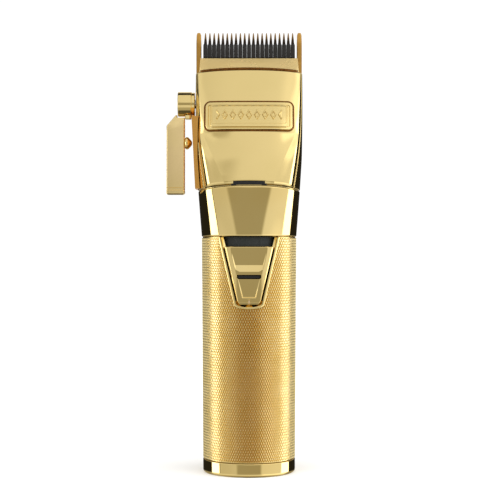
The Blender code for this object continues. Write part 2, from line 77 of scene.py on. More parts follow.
CAP_RADIUS = CAP_HIGH[0]
SLEEVE_RADIUS = SLEEVE_HIGH[0]
SEAM_RISE = 1.8  # how far the collar's seam rises from the sides to the front middle
COLLAR_TOP = COLLAR_HIGH[2] - SEAM_RISE
LID_BOTTOM = LID_LOW[2] - 0.35
LID_TOP = HOUSING_HIGH[2]
LID_BOW = 0.9  # how far the lid's top edge rises from its ends to its middle
CREASE_HEIGHTS = (123.4, 126.6, 144.5, 172.0)
CREASE_HALF_WIDTHS = (10.4, 11.6, 19.6, 19.6)
CREASE_SIDE = 0.7  # the share of the lid's grid that lies between its creases
BADGE_LIFT = 0.3
BADGE_CORNER = 2.2
V_FOOT = 6.4  # half the width of the switch's V where its round foot begins
V_DROP = 1.9  # the height of that foot
LEVER_Z = 158.2
TOOTH_PITCH = 1.9
TEETH_EACH_SIDE = 10
TOOTH_MIDDLES = TOOTH_PITCH * np.arange(-TEETH_EACH_SIDE, TEETH_EACH_SIDE + 1)
MERGE_DISTANCE = 0.000002

# The body's section: height, half width, front depth, rear depth, squareness.
SECTIONS = np.array([
    (COLLAR_LOW[2], 20.4, 20.4, 20.4, 2.0),
    (111.0, 21.2, 20.9, 20.0, 2.25),
    (122.0, 22.0, 20.7, 18.6, 2.6),
    (135.0, 22.8, 19.2, 14.3, 2.9),
    (150.0, 23.0, 16.0, 9.8, 3.2),
    (163.0, 23.0, 11.9, 9.8, 3.4),
    (172.2, 22.9, 8.6, 9.8, 3.4),
])
SEAM_HEIGHTS = (122.0, 134.0, 145.0, 160.0)
SEAM_ANGLES = np.radians((34.0, 28.0, 21.0, 16.0))


# ---- surfaces

def smooth_sections():
    """The sections every half millimetre, each size averaged over a raised cosine 11 mm long."""
    spacing = 0.5
    reach = 11
    heights = np.arange(SECTIONS[0, 0], SECTIONS[-1, 0] + spacing, spacing)
    window = np.hanning(2 * reach + 1)
    columns = [heights]
    for sizes in SECTIONS.T[1:]:
        straight = np.interp(heights, SECTIONS[:, 0], sizes)
        padded = np.pad(straight, reach, mode="reflect", reflect_type="odd")
        columns.append(np.convolve(padded, window / window.sum(), mode="valid"))
    return np.array(columns)


SMOOTH = smooth_sections()


def body_sizes(height):
    """Half width, front depth, rear depth and squareness at each height."""
    return [np.interp(height, SMOOTH[0], sizes) for sizes in SMOOTH[1:]]


def body(height, angle, lift=0.0):
    """Points x = a |cos|^(2/n), y = b |sin|^(2/n) with their signs, grown outwards by lift."""
    half_width, front, rear, squareness = body_sizes(height)
    across = np.cos(angle)
    along = np.sin(angle)
    depth = np.where(along > 0, rear, front) + lift
    power = 2 / squareness
    x = np.sign(across) * np.abs(across) ** power * (half_width + lift)
    y = np.sign(along) * np.abs(along) ** power * depth
    return np.stack(np.broadcast_arrays(x, y, height), -1)


def front_depth(x, height):
    """How far forward the body reaches at x and height: d = b (1 - |x/a|^n)^(1/n)."""
    half_width, front, _, squareness = body_sizes(height)
    share = np.clip(np.abs(x) / half_width, 0, 0.9999) ** squareness
    return front * (1 - share) ** (1 / squareness)


def seam_angle(height):
    """The angle from the side to the seam between lid and rear shell, in radians."""
    return np.interp(height, SEAM_HEIGHTS, SEAM_ANGLES)


def frontness(angle):
    """1 at the front middle, falling as a squared sine to 0 at the sides and behind."""
    return np.maximum(0, -np.sin(angle)) ** 2


def step(value, low, high):
    """A smooth step from 0 at low to 1 at high, the cubic 3t^2 - 2t^3."""
    t = np.clip((value - low) / (high - low), 0, 1)
    return t * t * (3 - 2 * t)


def grid(rows, columns):
    """Two arrays of parameters, up and around, each from 0 to 1."""
    return np.meshgrid(np.linspace(0, 1, rows), np.linspace(0, 1, columns), indexing="ij")


def grid_faces(rows, columns, wrap=False):
    """Quads between the points of a grid, stored row by row. A wrapped row joins its end to its start."""
    last = columns if wrap else columns - 1
    row, left = np.meshgrid(np.arange(rows - 1), np.arange(last), indexing="ij")
    right = (left + 1) % columns
    low = row * columns
    high = low + columns
    return np.stack([low + left, low + right, high + right, high + left], -1).reshape(-1, 4)


def mesh_piece(name, surfaces, material, body_name, replaces=(), sharp=35):
    """One piece from (points in mm, faces) pairs: their doubles merged, shaded smooth but for sharp edges."""
    points = []
    faces = []
    count = 0
    for surface, corners in surfaces:
        flat = np.asarray(surface, float).reshape(-1, 3)
        points.append(flat)
        faces.append(np.asarray(corners) + count)
        count += len(flat)
    mesh = bpy.data.meshes.new(name)
    mesh.from_pydata(np.concatenate(points) * MM, [], np.concatenate(faces).tolist())
    cleaned = bmesh.new()
    cleaned.from_mesh(mesh)
    bmesh.ops.remove_doubles(cleaned, verts=cleaned.verts, dist=MERGE_DISTANCE)
    cleaned.to_mesh(mesh)
    cleaned.free()
    mesh.shade_smooth()
    mesh.set_sharp_from_angle(angle=math.radians(sharp))
    piece = bpy.data.objects.new(name, mesh)
    bpy.context.scene.collection.objects.link(piece)
    mesh.materials.append(material)
    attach(piece, body_name)
    if replaces:
        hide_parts(*replaces)
    return piece


def wall(piece, thickness):
    """Thickens an open surface inwards."""
    solid = piece.modifiers.new("Wall", "SOLIDIFY")
    solid.thickness = thickness * MM
    solid.offset = -1
    solid.use_even_offset = True


def rounded(profile, radius, steps=5):
    """The profile with each inner corner cut back by the radius, or by just under half of a shorter side, and
    bridged by a quadratic arc."""
    profile = np.asarray(profile, float)
    points = [profile[:1]]
    t = np.linspace(0, 1, steps)[:, None]
    for before, corner, after in zip(profile, profile[1:], profile[2:]):
        length_before = np.linalg.norm(before - corner)
        length_after = np.linalg.norm(after - corner)
        cut = min(radius, 0.49 * length_before, 0.49 * length_after)
        start = corner + (before - corner) / length_before * cut
        end = corner + (after - corner) / length_after * cut
        points.append((1 - t) ** 2 * start + 2 * t * (1 - t) * corner + t**2 * end)
    points.append(profile[-1:])
    return np.concatenate(points)


AXES = {
    "x": ((0, 1, 0), (0, 0, 1), (1, 0, 0)),
    "y": ((0, 0, 1), (1, 0, 0), (0, 1, 0)),
    "z": ((1, 0, 0), (0, 1, 0), (0, 0, 1)),
}


def turned(profile, centre, axis="z", sides=96, swell=None):
    """A profile of (radius, height) points, run from bottom to top, carried round an axis.

    swell(angle, row) can scale the radius, which makes a recess that isn't round.
    """
    profile = np.asarray(profile, float)
    angle = np.linspace(0, TAU, sides, endpoint=False)
    radius = np.repeat(profile[:, :1], sides, 1)
    if swell is not None:
        radius = radius * swell(angle[None], np.arange(len(profile))[:, None])
    first, second, along = (np.array(vector, float) for vector in AXES[axis])
    points = (
        np.array(centre, float)
        + radius[..., None] * (np.cos(angle)[:, None] * first + np.sin(angle)[:, None] * second)
        + profile[:, 1:, None] * along
    )
    return points, grid_faces(len(profile), sides, wrap=True)


def tube_of_sections(points):
    """A closed tube from sections stored (section, round): its points and quads, with a fan at each end."""
    sections, around = points.shape[:2]
    middle_low = np.repeat(points[:1].mean(1, keepdims=True), around, 1)
    middle_high = np.repeat(points[-1:].mean(1, keepdims=True), around, 1)
    closed = np.concatenate([middle_low, points, middle_high])
    return closed, grid_faces(sections + 2, around, wrap=True)


def corner_turns(per_corner):
    """Round a rectangle's corners: the angle of each point, and the signs of x and y at its corner."""
    turn = np.linspace(0, math.pi / 2, per_corner)
    angle = np.concatenate([turn + quarter * math.pi / 2 for quarter in range(4)])
    return angle, np.repeat([1, -1, -1, 1], per_corner), np.repeat([1, 1, -1, -1], per_corner)


def bar_sections(centre, half_x, half_y, height, corner=0.35, per_corner=3):
    """Rounded rectangles at each height, as arrays (section, round, 3), turning anticlockwise from above."""
    angle, sign_x, sign_y = corner_turns(per_corner)
    centre_x, centre_y = np.asarray(centre, float).T[..., None]
    half_x, half_y, height = (np.asarray(sizes, float)[:, None] for sizes in (half_x, half_y, height))
    radius = np.minimum(corner, 0.9 * np.minimum(half_x, half_y))
    x = centre_x + sign_x * (half_x - radius) + radius * np.cos(angle)
    y = centre_y + sign_y * (half_y - radius) + radius * np.sin(angle)
    return np.stack(np.broadcast_arrays(x, y, height), -1)


def laid_forwards(sections, height):
    """Sections stacked upwards, tipped over so that they stack towards the front at a height."""
    return np.stack([sections[..., 0], -sections[..., 2], height + sections[..., 1]], -1)


# ---- materials

class Value:
    """A shader value. Arithmetic on it adds the Math nodes that work it out."""

    def __init__(self, paint, socket):
        self.paint = paint
        self.socket = socket

    def math(self, operation, *others):
        """A Math node's result from this value and the others, each a Value or a number."""
        terms = dict(enumerate((self, *others)))
        return self.paint.node("ShaderNodeMath", {"operation": operation}, terms)

    def __add__(self, other):
        return self.math("ADD", other)

    __radd__ = __add__

    def __mul__(self, other):
        return self.math("MULTIPLY", other)

    __rmul__ = __mul__

    def __sub__(self, other):
        return self.math("SUBTRACT", other)

    def __rsub__(self, other):
        return -self + other

    def __neg__(self):
        return self * -1

    def mixed(self, other, factor):
        """This value where factor is 0, and other where it is 1."""
        return self + (other - self) * factor

    def step(self, low, high, start=0.0, end=1.0):
        """A smooth step of this value between low and high, from start to end."""
        settings = {"interpolation_type": "SMOOTHSTEP"}
        inputs = {"Value": self, "From Min": low, "From Max": high, "To Min": start, "To Max": end}
        return self.paint.node("ShaderNodeMapRange", settings, inputs)


class Paint:
    """A node tree and the one method that adds nodes to it."""

    def __init__(self, tree):
        self.tree = tree

    def node(self, kind, settings=None, inputs=None, output=0):
        """A new node's output as a Value, or a list of Values where output is a tuple."""
        made = self.tree.nodes.new(kind)
        for key, setting in (settings or {}).items():
            setattr(made, key, setting)
        for key, given in (inputs or {}).items():
            if isinstance(given, Value):
                self.tree.links.new(given.socket, made.inputs[key])
            else:
                made.inputs[key].default_value = given
        if isinstance(output, tuple):
            return [Value(self, made.outputs[key]) for key in output]
        return Value(self, made.outputs[output])

    def place(self):
        return self.node("ShaderNodeTexCoord", output="Object")

    def split(self, vector):
        return self.node("ShaderNodeSeparateXYZ", inputs={0: vector}, output=("X", "Y", "Z"))

    def stretched(self, x, y, z):
        """Object coordinates with each axis scaled."""
        return self.node("ShaderNodeMapping", inputs={"Vector": self.place(), "Scale": (x, y, z)})

    def noise(self, scale, detail=2.0, vector=None, roughness=0.5):
        """Noise whose scale counts its lumps in a metre of the vector."""
        inputs = {"Vector": vector or self.place(), "Scale": scale, "Detail": detail, "Roughness": roughness}
        return self.node("ShaderNodeTexNoise", inputs=inputs)

    def mix(self, factor, first, second):
        """A blend of two colours, which are the Mix node's sockets 6 and 7."""
        inputs = {0: factor, 6: first, 7: second}
        return self.node("ShaderNodeMix", {"data_type": "RGBA"}, inputs, output=2)

    def bump(self, height, distance):
        """A normal bent by a height from 0 to 1, which stands for a distance in metres."""
        return self.node("ShaderNodeBump", inputs={"Height": height, "Distance": distance})


def finish(name, recipe, **numbers):
    """A material whose recipe returns the links of its Principled BSDF; numbers are its uniform values."""
    made = bpy.data.materials.new(name)
    made.use_nodes = True
    shader = made.node_tree.nodes["Principled BSDF"]
    for socket, value in numbers.items():
        shader.inputs[socket.replace("_", " ")].default_value = value
    for socket, value in recipe(Paint(made.node_tree)).items():
        made.node_tree.links.new(value.socket, shader.inputs[socket])
    return made


PALE_GOLD = (0.83, 0.645, 0.28, 1)
WARM_GOLD = (0.80, 0.60, 0.235, 1)


def polish(light, shade, low=0.05, high=0.14):
    """A polished plate: slow colour drift, and a haze of handling that roughens it in soft patches."""
    def recipe(paint):
        drift = paint.noise(28.0, 3.0)
        haze = paint.noise(90.0, 4.0, roughness=0.6)
        rub = paint.noise(9000.0, 1.0, paint.stretched(0.25, 0.25, 1.0))
        return {
            "Base Color": paint.mix(drift.step(0.35, 0.7), light, shade),
            "Roughness": haze.step(0.35, 0.75, low, high),
            "Normal": paint.bump(rub, 6e-7),
        }
    return recipe


def brushed(light, shade, scale, low=0.22, high=0.36, depth=4e-6):
    """A brushed or ground face: noise with its own scale on each axis drives colour, roughness and bump."""
    def recipe(paint):
        lines = paint.noise(1.0, 3.0, paint.stretched(*scale), 0.65)
        return {
            "Base Color": paint.mix(lines.step(0.3, 0.7), light, shade),
            "Roughness": lines.step(0.25, 0.75, low, high),
            "Normal": paint.bump(lines, depth),
        }
    return recipe


def knurled(paint):
    """Gold that deepens and dulls from the points, whose radius grows slowly with height, to the bottom of
    the grooves, the deepening being painted shade, and that drifts between two tones on the points."""
    foot_radius, flare = 0.019765, 0.0058
    shallow, deep = 0.00003, 0.00042
    x, y, z = paint.split(paint.place())
    radius = (x * x + y * y).math("SQRT")
    # groove darkens the base colour towards the bottom of the grooves as painted shade; it also raises the
    # roughness there.
    groove = (z * flare + foot_radius - radius).step(shallow, deep)
    wear = paint.noise(160.0, 3.0)
    tips = paint.mix(wear.step(0.3, 0.7), (0.95, 0.79, 0.42, 1), (0.91, 0.73, 0.34, 1))
    return {
        "Base Color": paint.mix(groove, tips, (0.74, 0.51, 0.15, 1)),
        "Roughness": groove.step(0.0, 1.0, 0.27, 0.3),
    }


def ground_comb(paint):
    """Gold ground across the teeth, near black on the teeth between the two end ones as painted shade, and
    lighter again towards their tips, where that painted shade fades."""
    x, _, z = paint.split(paint.place())
    lines = paint.noise(1.0, 3.0, paint.stretched(9000, 600, 600), 0.65)
    above_root = z.step(0.1776, 0.1790)
    between_ends = x.math("ABSOLUTE").step(0.0199, 0.0203, 1.0, 0.0)
    below_tips = z.step(0.1862, 0.1895, 1.0, 0.5)
    gold = paint.mix(lines.step(0.3, 0.7), (0.66, 0.38, 0.10, 1), (0.52, 0.27, 0.06, 1))
    # dark is painted shade on the inner teeth, from their root to near their tips.
    dark = (0.035, 0.024, 0.017, 1)
    return {
        "Base Color": paint.mix(above_root * between_ends * below_tips, gold, dark),
        "Roughness": lines.step(0.25, 0.75, 0.2, 0.34),
        "Normal": paint.bump(lines, 4e-6),
    }


def moulded(colour, grain_colour, low=0.42, high=0.6, scale=1400.0):
    """Moulded plastic, or a dull coating, with a fine grain."""
    def recipe(paint):
        grain = paint.noise(scale, 3.0)
        return {
            "Base Color": paint.mix(grain.step(0.3, 0.7), colour, grain_colour),
            "Roughness": grain.step(0.3, 0.7, low, high),
            "Normal": paint.bump(grain, 1e-5),
        }
    return recipe


def tracked_board(paint):
    """A circuit board: green lacquer with patches of copper where two waves and a noise add up to 1."""
    x, _, z = paint.split(paint.place())
    waves = (x * 2600.0).math("SINE") * (z * 1700.0).math("SINE")
    copper = (waves + paint.noise(260.0, 1.0)).step(0.95, 1.05)
    return {
        "Base Color": paint.mix(copper, (0.01, 0.11, 0.04, 1), (0.10, 0.24, 0.08, 1)),
        "Roughness": copper.step(0.0, 1.0, 0.3, 0.42),
        "Normal": paint.bump(copper, 3e-5),
    }


def wound_copper(paint):
    """Enamelled wire laid in even turns along the shaft, its colour darkened between the turns as painted
    shade.
    """
    _, _, z = paint.split(paint.place())
    turns = (z * 9000.0).math("SINE") * 0.5 + 0.5
    return {
        # The darker colour in the valleys between turns is painted shade.
        "Base Color": paint.mix(turns, (0.28, 0.09, 0.03, 1), (0.75, 0.32, 0.13, 1)),
        "Roughness": turns.step(0.0, 1.0, 0.45, 0.25),
        "Normal": paint.bump(turns, 1.2e-4),
    }


def metal(name, recipe, metallic=1.0):
    return finish(name, recipe, Metallic=metallic)


EVEN = (900, 900, 900)
UPRIGHT_LINES = (9000, 600, 600)

POLISHED = metal("polished gold", polish(PALE_GOLD, (0.80, 0.62, 0.26, 1)))
COLLAR_GOLD = metal("polished collar gold", polish(PALE_GOLD, WARM_GOLD, 0.03, 0.08))
ARM_GOLD = metal("lever gold", polish((0.93, 0.71, 0.37, 1), (0.88, 0.69, 0.31, 1), 0.16, 0.26))
SATIN = metal("satin gold", brushed(WARM_GOLD, (0.72, 0.52, 0.17, 1), (600, 600, 9000)))
PLATE = metal("brushed side plate", brushed((0.92, 0.50, 0.13, 1), (0.80, 0.40, 0.09, 1), (700, 700, 12000)))
NOSE_GOLD = metal("satin nose gold", polish((0.84, 0.63, 0.28, 1), (0.80, 0.59, 0.24, 1), 0.22, 0.3), 0.5)
# Darker gold for the band inside the seam: painted shade.
SEAM_SHADE_GOLD = metal("seam painted shade gold", brushed((0.55, 0.43, 0.19, 1), (0.48, 0.37, 0.15, 1), EVEN))
# Dark brown for the lines round the badge and below the nose: painted shade of their grooves.
GROOVE_SHADE_BROWN = metal("painted groove shade", brushed((0.13, 0.05, 0.012, 1), (0.22, 0.09, 0.02, 1), EVEN))
KNURL = metal("knurled gold", knurled)
PANEL = metal("badge gold", brushed(PALE_GOLD, (0.77, 0.59, 0.24, 1), (900, 900, 9000), 0.10, 0.2, 6e-7))
COMB_GOLD = metal("ground gold comb", ground_comb)
BLACK = metal(
    "black cutter coating", brushed((0.018, 0.017, 0.016, 1), (0.035, 0.032, 0.03, 1), UPRIGHT_LINES), 0.6
)
SCREW_BLACK = metal(
    "blackened screw", moulded((0.02, 0.02, 0.02, 1), (0.05, 0.05, 0.05, 1), 0.25, 0.4, 5000.0), 0.9
)
STEEL = metal("bright steel", brushed((0.62, 0.61, 0.58, 1), (0.48, 0.47, 0.45, 1), (900, 900, 12000)))
COPPER = metal("copper winding", wound_copper, 0.9)
TRACK = finish("dark track plastic", moulded((0.011, 0.014, 0.013, 1), (0.019, 0.023, 0.021, 1)))
INNER = finish(
    "dark inner plastic", moulded((0.03, 0.032, 0.032, 1), (0.05, 0.052, 0.05, 1), 0.5, 0.65, 900.0)
)
BOARD = finish("lacquered board", tracked_board)
WRAP = finish("cell shrink wrap", moulded((0.05, 0.15, 0.4, 1), (0.07, 0.19, 0.46, 1), 0.25, 0.38, 300.0))
LENS = finish(
    "milky light pipe", moulded((0.88, 0.76, 0.5, 1), (0.92, 0.8, 0.55, 1), 0.15, 0.25, 3000.0),
    Coat_Weight=0.5,
)


# ---- grip

def end_cap():
    """The end ring: a turned bead with a flat foot, and a thick floor with a hole for the charging jack."""
    sides = 96
    foot_radius, wall_radius, jack_radius = 17.4, 17.6, 3.8
    thickness = (0, 0, 2.2)
    radius, top = CAP_RADIUS, CAP_HIGH[2]
    outer = [
        (foot_radius, 0), (radius - 0.4, 0), (radius, 0.9),
        (radius, top), (wall_radius, top), (wall_radius, 2.2),
    ]
    angle = np.linspace(0, TAU, sides, endpoint=False)
    circle = np.stack([np.cos(angle), np.sin(angle), 0 * angle], -1)
    foot_edge = foot_radius * circle
    floor_edge = foot_edge * (wall_radius / foot_radius) + thickness
    jack_hole = jack_radius * circle + (0, 9.5, 0)
    t = np.linspace(0, 1, 5)[:, None, None]
    underside = jack_hole * (1 - t) + foot_edge * t
    floor_top = floor_edge * (1 - t) + (jack_hole + thickness) * t
    bore = np.stack([jack_hole + thickness, jack_hole + (0, 0, 0.3), jack_hole])
    faces = grid_faces(len(t), sides, wrap=True)
    surfaces = [
        turned(rounded(outer, 0.5, 6), (0, 0, 0), "z", sides), (underside, faces), (floor_top, faces),
        (bore, grid_faces(len(bore), sides, wrap=True)),
    ]
    mesh_piece("end_ring", surfaces, COLLAR_GOLD, "housing", ["end_cap"])


def window_half_width(height):
    """Half the width of the switch's V at a height, from its foot to its top."""
    low, high = BEZEL_LOW[2] + V_DROP, BEZEL_HIGH[2]
    return np.interp(height, (low - 2.0, low, high), (0.0, V_FOOT, BEZEL_HIGH[0]))


def knurled_skin():
    """A diamond knurl. Two families of helical valleys cross, and between them stand four-sided pyramids
    whose tops are cut flat halfway up. Each quad is split along whichever of its diagonals is a crease."""
    columns, rows, depth = 480, 167, 0.44
    overlap = 0.75
    low, high = SLEEVE_LOW[2], SLEEVE_HIGH[2]
    angle = np.linspace(0, TAU, columns, endpoint=False) + TAU / 2 / columns
    height = np.linspace(low + 0.25, high - 0.35, rows)
    row, column = np.meshgrid(np.arange(rows), np.arange(columns), indexing="ij")
    one_way, other_way = (column + row) % 4, (column - row) % 4
    rise = 2 - np.maximum(np.abs(one_way - 2), np.abs(other_way - 2))
    outer = np.interp(height, (low, high), (CAP_RADIUS, SLEEVE_RADIUS))[:, None]
    radius = outer - depth * (1 - np.minimum(rise, 1))
    knurl = np.stack(np.broadcast_arrays(radius * np.cos(angle), radius * np.sin(angle), height[:, None]), -1)
    quads = grid_faces(rows, columns, wrap=True)
    along_first = np.where(one_way % 2 == 0, other_way == 0, one_way == 1)[:-1].reshape(-1, 1)
    first = np.where(along_first, quads[:, [0, 1, 2]], quads[:, [0, 1, 3]])
    second = np.where(along_first, quads[:, [0, 2, 3]], quads[:, [1, 2, 3]])
    middle = knurl.reshape(-1, 3)[quads].mean(1)
    kept = (np.abs(middle[:, 0]) > window_half_width(middle[:, 2]) - overlap) | (middle[:, 1] > 0)
    facets = np.concatenate([first[kept], second[kept]])
    mesh_piece("knurled_grip", [(knurl, facets)], KNURL, "housing", sharp=12)


def grip_tube():
    """The walled tube just under the knurl, open at the V, with a lip turned in at each end."""
    turns = 161
    overlap = 0.7
    low, high = SLEEVE_LOW[2] - 0.2, SLEEVE_HIGH[2] + 0.25
    ends = np.array([0.0, 0.12, 0.3, 0.5, 0.9])
    height = np.concatenate([low + ends, np.linspace(low + 2, high - 2, 24), high - ends[::-1]])[:, None]
    inset = np.interp(np.minimum(height - low, high - height), ends, (0.5, 0.4, 0.38, 0.4, 0.9))
    radius = np.interp(height, (low, high), (CAP_RADIUS, SLEEVE_RADIUS)) - inset
    reach = np.arcsin((window_half_width(height) - overlap).clip(0) / radius)
    turn = -math.pi / 2 + reach + (TAU - 2 * reach) * np.linspace(0, 1, turns)
    tube = np.stack(np.broadcast_arrays(radius * np.cos(turn), radius * np.sin(turn), height), -1)
    surface = (tube, grid_faces(len(height), turns))
    wall(mesh_piece("grip_tube", [surface], SATIN, "housing", ["grip_sleeve"]), 0.9)


# ---- switch

def v_outline(foot, top, low, high, drop, count):
    """A V with a round foot, as points (x, z) from its top left, round the foot, to its top right."""
    arc = np.linspace(math.pi, 0, 17)
    foot_points = np.stack([foot * np.cos(arc), low + drop - drop * np.sin(arc)], -1)
    side = np.linspace(1, 0, count)[1:-1, None]
    left = np.array([-foot, low + drop]) * (1 - side) + np.array([-top, high]) * side
    right = left[::-1] * (-1, 1)
    return np.concatenate([[(-top, high)], left, foot_points, right, [(top, high)]])


def on_cylinder(flat, radius):
    """Points (x, z) laid on the front of a cylinder."""
    x, z = flat[..., 0], flat[..., 1]
    return np.stack([x, -np.sqrt(radius**2 - x**2), z], -1)


def switch_bezel():
    """The V frame: its outline swept by a small crowned section that runs from the outside to the inside."""
    low, high = BEZEL_LOW[2], BEZEL_HIGH[2]
    border, count = 1.6, 30
    outer = v_outline(V_FOOT, BEZEL_HIGH[0], low, high, V_DROP, count)
    inner = v_outline(4.85, BEZEL_HIGH[0] - border, low + 1.5, high, 1.4, count)
    share = np.array([0.0, 0.0, 0.12, 0.4, 0.62, 0.72, 1.45, 1.5, 0.5])[:, None, None]
    radii = np.array([18.4, 20.42, 20.66, 20.7, 20.62, 20.3, 19.3, 18.3, 18.2])[:, None]
    ring = outer[None] * (1 - share) + inner[None] * share
    tube, faces = tube_of_sections(on_cylinder(ring, radii).transpose(1, 0, 2))
    mesh_piece("switch_frame", [(tube, faces[:, ::-1])], COLLAR_GOLD, "housing", ["switch_bezel"], sharp=50)


def slider():
    """The thumb slider, by height: a lip, a plate, a slot under a ledge, and a scoop that curves down from
    the ledge. All of them lie between two rails that follow the barrel and lean outwards."""
    rows, columns = 220, 110
    barrel_radius = 20.88
    low, high = SLIDER_LOW[2], SLIDER_HIGH[2]
    up, across = grid(rows, columns)
    side = 2 * across - 1
    z = low + (high - low) * up
    x = side * np.interp(z, (low, low + 1.5, high), (4.0, 5.0, SLIDER_HIGH[0]))
    heights = low + np.array([10.7, 10.9, 12.2, 12.4, 13.8, 14.6, 15.5, 16.5])
    depths = (20.2, 18.8, 18.8, 20.45, 20.45, 20.1, 19.6, 19.42)
    rail_line = np.interp(z, (low + 2.9, high), (2.6, 7.9))
    lip = 1 - step(z, low + 2.8, low + 3.05)
    rail = np.maximum(step(np.abs(x) - rail_line, -0.2, 0.35), lip)
    barrel = np.sqrt(barrel_radius**2 - x**2)
    inner = np.minimum(np.interp(z, heights, depths), barrel - 0.03)
    edge = 0.4 * step(np.abs(side), 0.94, 1.0) + 0.35 * (step(up, 0.985, 1.0) + 1 - step(up, 0.0, 0.03))
    notch = (1 - step(np.abs(x), 0.25, 0.4)) * (1 - step(z, low + 2.0, low + 2.2))
    y = -(inner + (barrel - inner) * rail - edge - notch)
    surface = (np.stack([x, y, z], -1), grid_faces(rows, columns))
    piece = mesh_piece("thumb_slider", [surface], COLLAR_GOLD, "switch", ["switch_slider"], sharp=60)
    wall(piece, 1.0)


def slot_shade_bar():
    """The black bar that fills the slider's slot, its front edges rounded: painted shade under the ledge."""
    share = np.linspace(0, 1, 5)
    centre = np.zeros((len(share), 2))
    bar = bar_sections(centre, 4.7 - 0.15 * share**4, 0.62 - 0.1 * share**4, 18.9 + 1.1 * share, 0.4)
    lying = laid_forwards(bar, SLIDER_LOW[2] + 11.55)
    # The black bar is painted shade under the slider's ledge.
    mesh_piece("slot_shade_bar", [tube_of_sections(lying)], SCREW_BLACK, "switch")


def switch_track():
    """The dark plate under the slider, with two shallow upright ribs."""
    count = 60
    radius, rib_height = 17.35, 0.25
    up, across = grid(count, count)
    low, high = BEZEL_LOW[2] + 0.3, BEZEL_HIGH[2] + 0.5
    z = low + (high - low) * up
    x = (2 * across - 1) * (window_half_width(z) + 0.3)
    rib = step(np.abs(x), 4.2, 4.5) * (1 - step(np.abs(x), 5.3, 5.6))
    points = on_cylinder(np.stack([x, z], -1), radius + rib_height * rib)
    surface = (points, grid_faces(count, count))
    wall(mesh_piece("slide_track", [surface], TRACK, "housing", ["switch_track"]), 0.9)


def indicator_light():
    """A small light pipe with a domed face."""
    low, high = node_box("indicator_light")
    share = np.linspace(0, 1, 6)
    half = 0.24 * np.sqrt(1 - (share * 0.7) ** 2)
    y = high[1] + (low[1] - high[1]) * (0.8 + 0.2 * share)
    y[0] = high[1]
    pipe = bar_sections(np.zeros((len(share), 2)), half, half * 3.5, -y, 0.2)
    lying = laid_forwards(pipe, (low[2] + high[2]) / 2)
    mesh_piece("light_pipe", [tube_of_sections(lying)], LENS, "housing", ["indicator_light"])


# ---- neck and head

def neck_collar():
    """A closed loft from the round sleeve to the squarer head, its top edge following the seam's rise, and
    a plain band just inside the seam so that no daylight shows through it, its darker gold painted shade in
    the seam."""
    rows, columns = 60, 360
    up, around = grid(rows, columns + 1)
    up, around = up[:, :-1], around[:, :-1]
    angle = TAU * around
    faces = grid_faces(rows, columns, wrap=True)
    top = COLLAR_TOP + SEAM_RISE * frontness(angle)
    height = COLLAR_LOW[2] + (top - COLLAR_LOW[2]) * up
    edge = 0.2 * (step(up, 0.985, 1.0) + 1 - step(up, 0.0, 0.015))
    loft = body(height, angle, -edge)
    wall(mesh_piece("neck_ring", [(loft, faces)], COLLAR_GOLD, "housing", ["neck_collar"]), 1.8)
    inside = body(top + 1.7 * up - 1.3, angle, -0.45)
    # The band's darker gold is painted shade in the seam.
    wall(mesh_piece("seam_band", [(inside, faces)], SEAM_SHADE_GOLD, "housing"), 0.6)


def lid_surface(side, up):
    """The lid as side (-1 to 1) and up (0 to 1). Below the badge a crease leans inwards on each side: between
    the creases the lid is a shallow arc, and outside them it turns back to the seam."""
    crease_gain, arc_drop = 0.45, 0.15
    bow_half_width = 22.0
    height = LID_BOTTOM + (LID_TOP - LID_BOTTOM) * up
    for _ in range(2):
        seam = seam_angle(height) + math.radians(0.8)
        corner = body(height, math.pi + seam)
        edge_x, edge_y = -corner[..., 0], corner[..., 1]
        crease = np.interp(height, CREASE_HEIGHTS, CREASE_HALF_WIDTHS)
        inner = np.clip(np.abs(side) / CREASE_SIDE, 0, 1) * crease
        outer = np.clip((np.abs(side) - CREASE_SIDE) / (1 - CREASE_SIDE), 0, 1)
        x = inner + outer * (edge_x - crease)
        bow = 1 - (x / bow_half_width) ** 2
        bottom = LID_BOTTOM + (SEAM_RISE - 0.1) * bow
        top = LID_TOP + LID_BOW * bow
        height = bottom + (top - bottom) * up
    front = body_sizes(height)[1]
    round_depth = front_depth(x, height)
    crease_depth = front_depth(crease, height) + crease_gain
    arc = front - arc_drop + (crease_depth - front + arc_drop) * (x / crease) ** 2
    turned_back = crease_depth + (-edge_y - crease_depth) * (0.42 * outer + 0.58 * outer**6)
    faceted = np.where(np.abs(side) <= CREASE_SIDE, arc, turned_back)
    weight = 1 - step(height, 138.0, 149.0)
    depth = round_depth + (faceted - round_depth) * weight
    return np.stack([np.sign(side) * x, -depth, height], -1)


def front_lid():
    """The lid, its edges turned in, with the thumbnail slot open in the middle of its lower edge, and a black
    strip behind the slot."""
    rows, columns = 150, 201
    slot_half, slot_top = 6.7, 0.026
    up, side = grid(rows, columns)
    side = 2 * side - 1
    points = lid_surface(side, up)
    points[..., 1] += 0.75 * (1 - step(up, -0.02, 0.03))
    points[..., 1] += 0.2 * (step(up, 0.994, 1.0) + step(np.abs(side), 0.985, 1.0))
    quads = grid_faces(rows, columns)
    middle = points.reshape(-1, 3)[quads].mean(1)
    slot = (np.abs(middle[:, 0]) < slot_half) & (up.reshape(-1)[quads[:, 0]] < slot_top)
    piece = mesh_piece("lid", [(points, quads[~slot])], POLISHED, "housing", ["front_lid"], sharp=9)
    wall(piece, 1.3)

    rows, columns = 6, 40
    up, side = grid(rows, columns)
    behind = lid_surface((2 * side - 1) * 0.5, up * 0.06 - 0.01)
    behind[..., 1] += 0.35
    wall(mesh_piece("slot_back", [(behind, grid_faces(rows, columns))], SCREW_BLACK, "housing"), 0.4)


def rounded_rectangle(x, z, half_x, half_z, corner):
    """The distance outside a rounded rectangle, negative inside."""
    across = np.abs(x) - (half_x - corner)
    along = np.abs(z) - (half_z - corner)
    outside = np.hypot(np.maximum(across, 0), np.maximum(along, 0))
    return outside + np.minimum(np.maximum(across, along), 0) - corner


